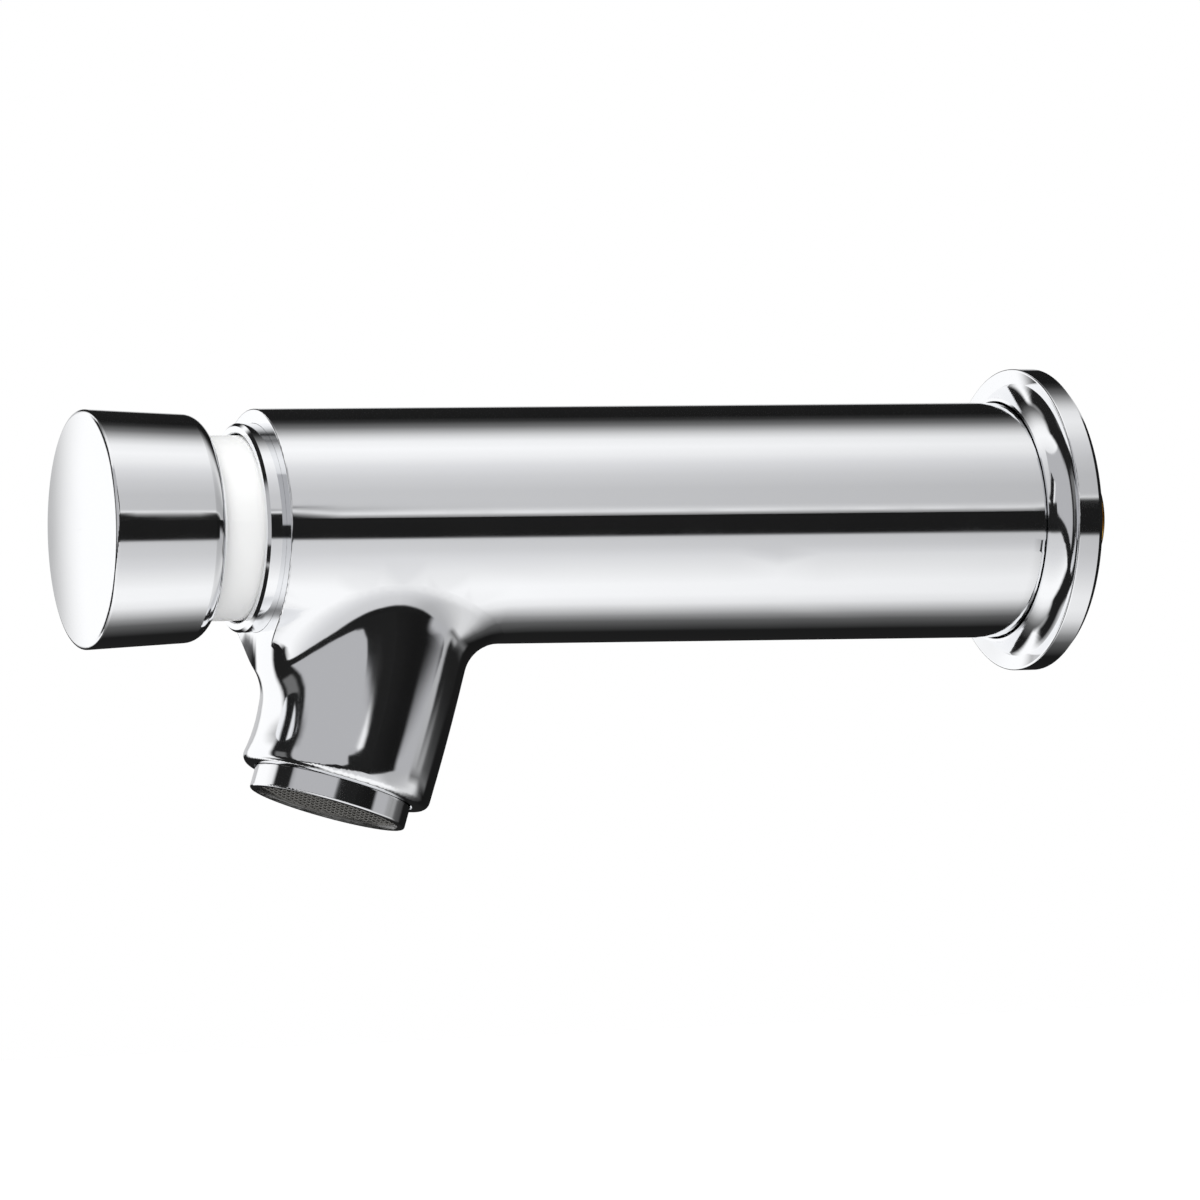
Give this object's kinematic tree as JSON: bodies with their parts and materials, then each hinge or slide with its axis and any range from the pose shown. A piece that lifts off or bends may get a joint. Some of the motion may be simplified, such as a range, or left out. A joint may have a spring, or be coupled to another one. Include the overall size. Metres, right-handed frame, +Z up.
{
  "type": "push timed tap",
  "caption": "Wall-mounted chromed push tap that closes by itself: a round barrel with a push button at its front, a short spout below and a round flange at the wall.",
  "frame": {"origin": "on the barrel's axis in the wall plane, where the inlet thread starts", "axes": "+Y along the barrel's axis into the wall, -Y towards the push button, +Z up, the spout hangs to -Z"},
  "size_m": [0.054, 0.188, 0.0791],
  "materials": {
    "polished_chrome": "bright nickel-chrome plating on polished brass",
    "white_acetal": "moulded white acetal, satin",
    "grey_acetal": "moulded dark grey acetal, satin",
    "bare_brass": "turned brass",
    "stainless_steel": "bright drawn stainless steel",
    "black_rubber": "moulded black EPDM rubber"
  },
  "bodies": {
    "tap": {"tap_body": "polished_chrome", "wall_flange": "polished_chrome", "cartridge_nut": "polished_chrome", "aerator_ring": "polished_chrome", "cartridge_head": "white_acetal", "cartridge_body": "grey_acetal", "rod_bush": "grey_acetal", "aerator_insert": "grey_acetal", "inlet_nipple": "bare_brass", "valve_seat": "bare_brass", "return_spring": "stainless_steel", "strainer_clip": "stainless_steel", "inlet_strainer": "stainless_steel", "aerator_screen": "stainless_steel", "flange_seal": "black_rubber", "flange_gasket": "black_rubber", "nipple_seal": "black_rubber", "head_seal": "black_rubber", "rod_seal": "black_rubber", "body_seal": "black_rubber", "aerator_washer": "black_rubber"},
    "button": {"push_button": "polished_chrome", "push_rod": "stainless_steel", "timing_piston": "grey_acetal", "piston_seal": "black_rubber", "timing_jet": "bare_brass", "piston_clips": "stainless_steel", "valve_poppet": "bare_brass", "valve_washer": "black_rubber", "valve_nut": "bare_brass"}
  },
  "joints": [
    {"name": "button_push", "type": "slide", "parent": "tap", "child": "button", "axis": [0, 1, 0], "range_m": [0, 0.00655], "stiffness_N_per_m": 1500, "springref_m": -0.012, "deforming": ["return_spring"]}
  ]
}
